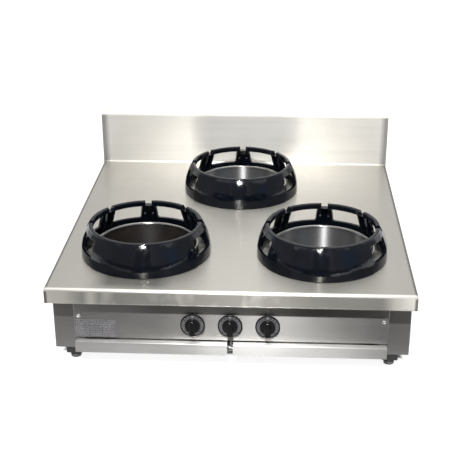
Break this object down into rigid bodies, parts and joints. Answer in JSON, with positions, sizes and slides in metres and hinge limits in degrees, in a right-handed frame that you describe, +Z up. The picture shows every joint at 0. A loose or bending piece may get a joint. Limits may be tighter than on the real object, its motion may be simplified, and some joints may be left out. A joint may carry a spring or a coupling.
{
  "type": "wok range",
  "caption": "Low gas wok range with raised enamelled wok rings over recessed burners, a splashback, a recessed knob panel, sliding drip trays and levelling feet.",
  "frame": {"origin": "on the floor under the middle of the range's footprint, splashback included", "axes": "+X to the cook's right, +Y from the cook towards the splashback, +Z up"},
  "size_m": [0.9, 0.95, 0.4],
  "materials": {
    "worktop_stainless": "brushed, grain from side to side",
    "splash_stainless": "brushed, level grain",
    "panel_stainless": "brushed, level grain",
    "body_stainless": "brushed",
    "frame_steel": "mill finish",
    "tray_stainless": "brushed, level grain",
    "plate_aluminium": "plain satin, bare",
    "screw_steel": "bright",
    "well_steel": "satin, heat marked",
    "ring_enamel": "glossy blue-black vitreous enamel",
    "burner_iron": "rough cast",
    "shutter_steel": "plain",
    "gas_tube": "drawn tube",
    "valve_brass": "machined",
    "injector_brass": "machined",
    "spindle_steel": "turned",
    "knob_black": "satin black",
    "dial_silver": "satin grey",
    "pilot_steel": "heat marked",
    "gas_pipe_steel": "zinc coated pipe",
    "block_black": "satin black",
    "foot_black": "satin black"
  },
  "bodies": {
    "range_body": {"back_panel": "body_stainless", "burner_base_left": "burner_iron", "burner_base_rear": "burner_iron", "burner_base_right": "burner_iron", "burner_head_left": "burner_iron", "burner_head_rear": "burner_iron", "burner_head_right": "burner_iron", "control_panel": "panel_stainless", "foot_blocks": "block_black", "front_burner_beam": "frame_steel", "gas_inlet_pipe": "gas_pipe_steel", "gas_manifold": "gas_pipe_steel", "injector_pipe_left": "gas_tube", "injector_pipe_rear": "gas_tube", "injector_pipe_right": "gas_tube", "injectors": "injector_brass", "lower_front_rail": "frame_steel", "lower_rear_rail": "frame_steel", "panel_screws": "screw_steel", "pilot_burners": "pilot_steel", "rating_plate": "plate_aluminium", "rear_burner_beam": "frame_steel", "side_panel_left": "body_stainless", "side_panel_right": "body_stainless", "splashback": "splash_stainless", "tray_runner_centre": "frame_steel", "tray_runner_left": "frame_steel", "tray_runner_right": "frame_steel", "upper_front_rail": "frame_steel", "valve_body_left": "valve_brass", "valve_body_rear": "valve_brass", "valve_body_right": "valve_brass", "well_left": "well_steel", "well_rear": "well_steel", "well_right": "well_steel", "worktop": "worktop_stainless"},
    "valve_plug_left": {"valve_plug_left": "valve_brass"},
    "knob_left": {"knob_left": "knob_black", "dial_ring_left": "dial_silver", "spindle_left": "spindle_steel"},
    "wok_ring_left": {"wok_ring_left": "ring_enamel"},
    "air_shutter_left": {"air_shutter_left": "shutter_steel"},
    "valve_plug_rear": {"valve_plug_rear": "valve_brass"},
    "knob_rear": {"knob_rear": "knob_black", "dial_ring_rear": "dial_silver", "spindle_rear": "spindle_steel"},
    "wok_ring_rear": {"wok_ring_rear": "ring_enamel"},
    "air_shutter_rear": {"air_shutter_rear": "shutter_steel"},
    "valve_plug_right": {"valve_plug_right": "valve_brass"},
    "knob_right": {"knob_right": "knob_black", "dial_ring_right": "dial_silver", "spindle_right": "spindle_steel"},
    "wok_ring_right": {"wok_ring_right": "ring_enamel"},
    "air_shutter_right": {"air_shutter_right": "shutter_steel"},
    "drip_tray_left": {"drip_tray_left": "tray_stainless"},
    "drip_tray_right": {"drip_tray_right": "tray_stainless"},
    "foot_front_left": {"foot_front_left": "foot_black"},
    "foot_front_right": {"foot_front_right": "foot_black"},
    "foot_rear_left": {"foot_rear_left": "foot_black"},
    "foot_rear_right": {"foot_rear_right": "foot_black"}
  },
  "joints": [
    {"name": "knob_turn_left", "type": "hinge", "parent": "range_body", "child": "valve_plug_left", "pos_m": [-0.0927, -0.407, 0.1262], "axis": [0, -1, 0], "range_deg": [0, 180]},
    {"name": "knob_push_left", "type": "slide", "parent": "valve_plug_left", "child": "knob_left", "axis": [0, 1, 0], "range_m": [0, 0.003], "stiffness_N_per_m": 1500, "springref_m": -0.002},
    {"name": "ring_lift_left", "type": "slide", "parent": "range_body", "child": "wok_ring_left", "axis": [0, 0, 1], "range_m": [0, 0.1]},
    {"name": "air_shutter_turn_left", "type": "hinge", "parent": "range_body", "child": "air_shutter_left", "pos_m": [-0.141, -0.248, 0.1262], "axis": [1, 0, 0], "range_deg": [0, 60]},
    {"name": "knob_turn_rear", "type": "hinge", "parent": "range_body", "child": "valve_plug_rear", "pos_m": [0, -0.407, 0.1262], "axis": [0, -1, 0], "range_deg": [0, 180]},
    {"name": "knob_push_rear", "type": "slide", "parent": "valve_plug_rear", "child": "knob_rear", "axis": [0, 1, 0], "range_m": [0, 0.003], "stiffness_N_per_m": 1500, "springref_m": -0.002},
    {"name": "ring_lift_rear", "type": "slide", "parent": "range_body", "child": "wok_ring_rear", "axis": [0, 0, 1], "range_m": [0, 0.1]},
    {"name": "air_shutter_turn_rear", "type": "hinge", "parent": "range_body", "child": "air_shutter_rear", "pos_m": [0, 0.119, 0.1262], "axis": [0, -1, 0], "range_deg": [0, 60]},
    {"name": "knob_turn_right", "type": "hinge", "parent": "range_body", "child": "valve_plug_right", "pos_m": [0.0927, -0.407, 0.1262], "axis": [0, -1, 0], "range_deg": [0, 180]},
    {"name": "knob_push_right", "type": "slide", "parent": "valve_plug_right", "child": "knob_right", "axis": [0, 1, 0], "range_m": [0, 0.003], "stiffness_N_per_m": 1500, "springref_m": -0.002},
    {"name": "ring_lift_right", "type": "slide", "parent": "range_body", "child": "wok_ring_right", "axis": [0, 0, 1], "range_m": [0, 0.1]},
    {"name": "air_shutter_turn_right", "type": "hinge", "parent": "range_body", "child": "air_shutter_right", "pos_m": [0.141, -0.248, 0.1262], "axis": [-1, 0, 0], "range_deg": [0, 60]},
    {"name": "tray_slide_left", "type": "slide", "parent": "range_body", "child": "drip_tray_left", "axis": [0, -1, 0], "range_m": [0, 0.5]},
    {"name": "tray_slide_right", "type": "slide", "parent": "range_body", "child": "drip_tray_right", "axis": [0, -1, 0], "range_m": [0, 0.5]},
    {"name": "foot_level_front_left", "type": "slide", "parent": "range_body", "child": "foot_front_left", "axis": [0, 0, -1], "range_m": [0, 0.012]},
    {"name": "foot_level_front_right", "type": "slide", "parent": "range_body", "child": "foot_front_right", "axis": [0, 0, -1], "range_m": [0, 0.012]},
    {"name": "foot_level_rear_left", "type": "slide", "parent": "range_body", "child": "foot_rear_left", "axis": [0, 0, -1], "range_m": [0, 0.012]},
    {"name": "foot_level_rear_right", "type": "slide", "parent": "range_body", "child": "foot_rear_right", "axis": [0, 0, -1], "range_m": [0, 0.012]}
  ]
}
